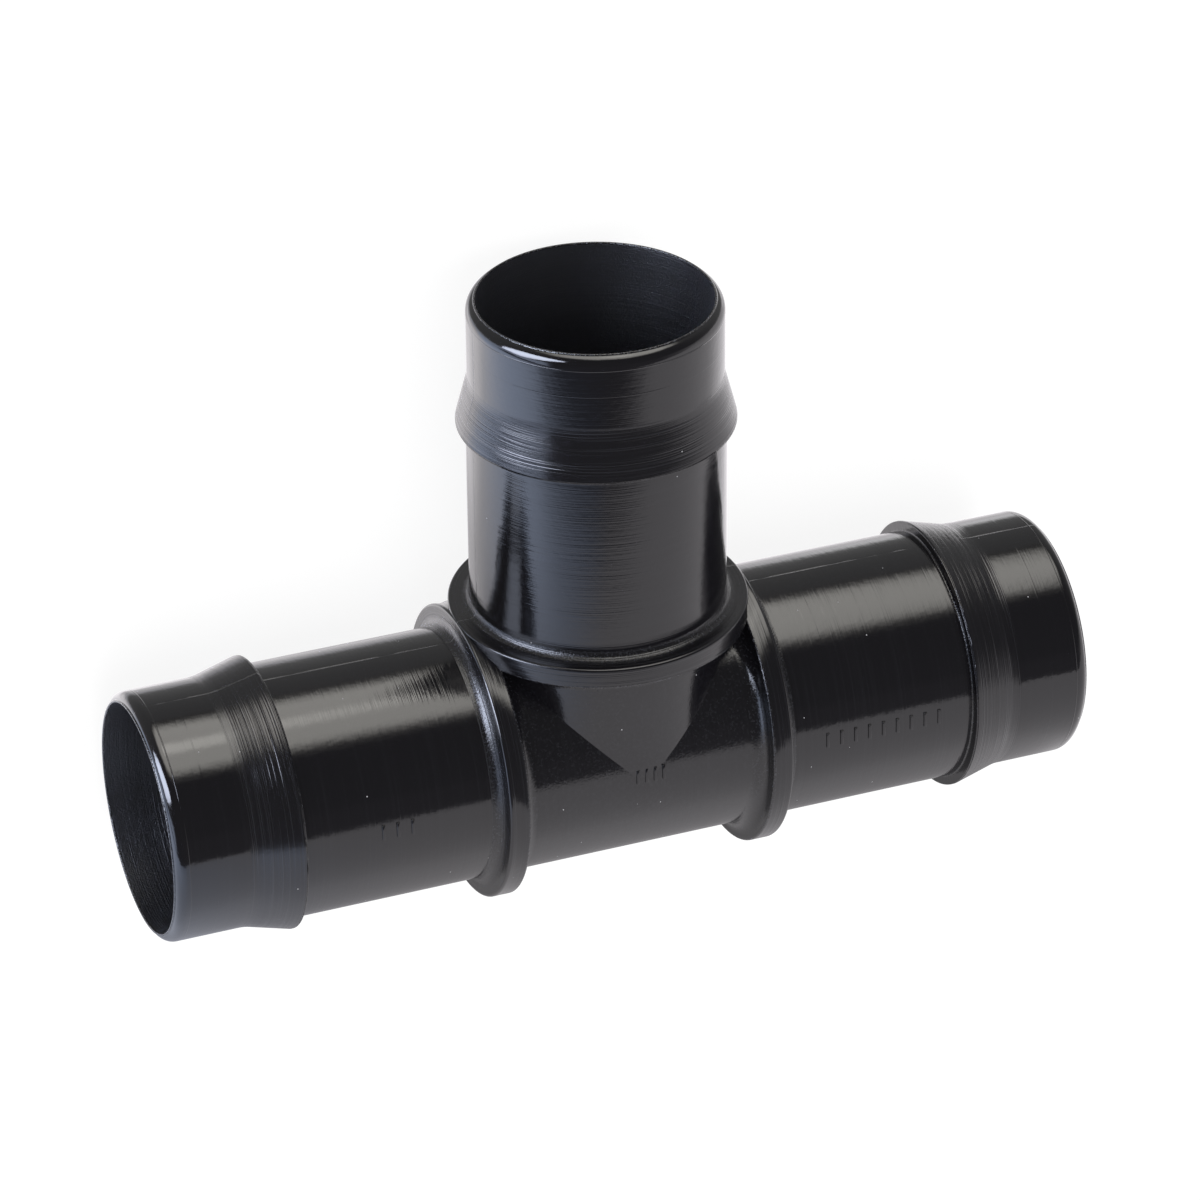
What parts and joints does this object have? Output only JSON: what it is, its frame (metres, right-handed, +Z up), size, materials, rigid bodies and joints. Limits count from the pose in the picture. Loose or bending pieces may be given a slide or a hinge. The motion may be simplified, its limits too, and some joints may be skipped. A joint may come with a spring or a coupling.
{
  "type": "hose tee connector",
  "caption": "Moulded black plastic tee for joining soft hose, with a barbed spigot on each arm and a raised collar where each arm meets the body.",
  "frame": {"origin": "where the axis of the run crosses the axis of the branch, in the middle plane of the tee", "axes": "+X along the run, +Y along the branch towards its tip, +Z up and square to the tee, which lies flat on its collars"},
  "size_m": [0.1216, 0.0789, 0.0374],
  "materials": {
    "black_plastic": "glossy moulded black plastic with fine turned tool marks"
  },
  "bodies": {
    "root": {"tee_body": "black_plastic"}
  },
  "joints": []
}
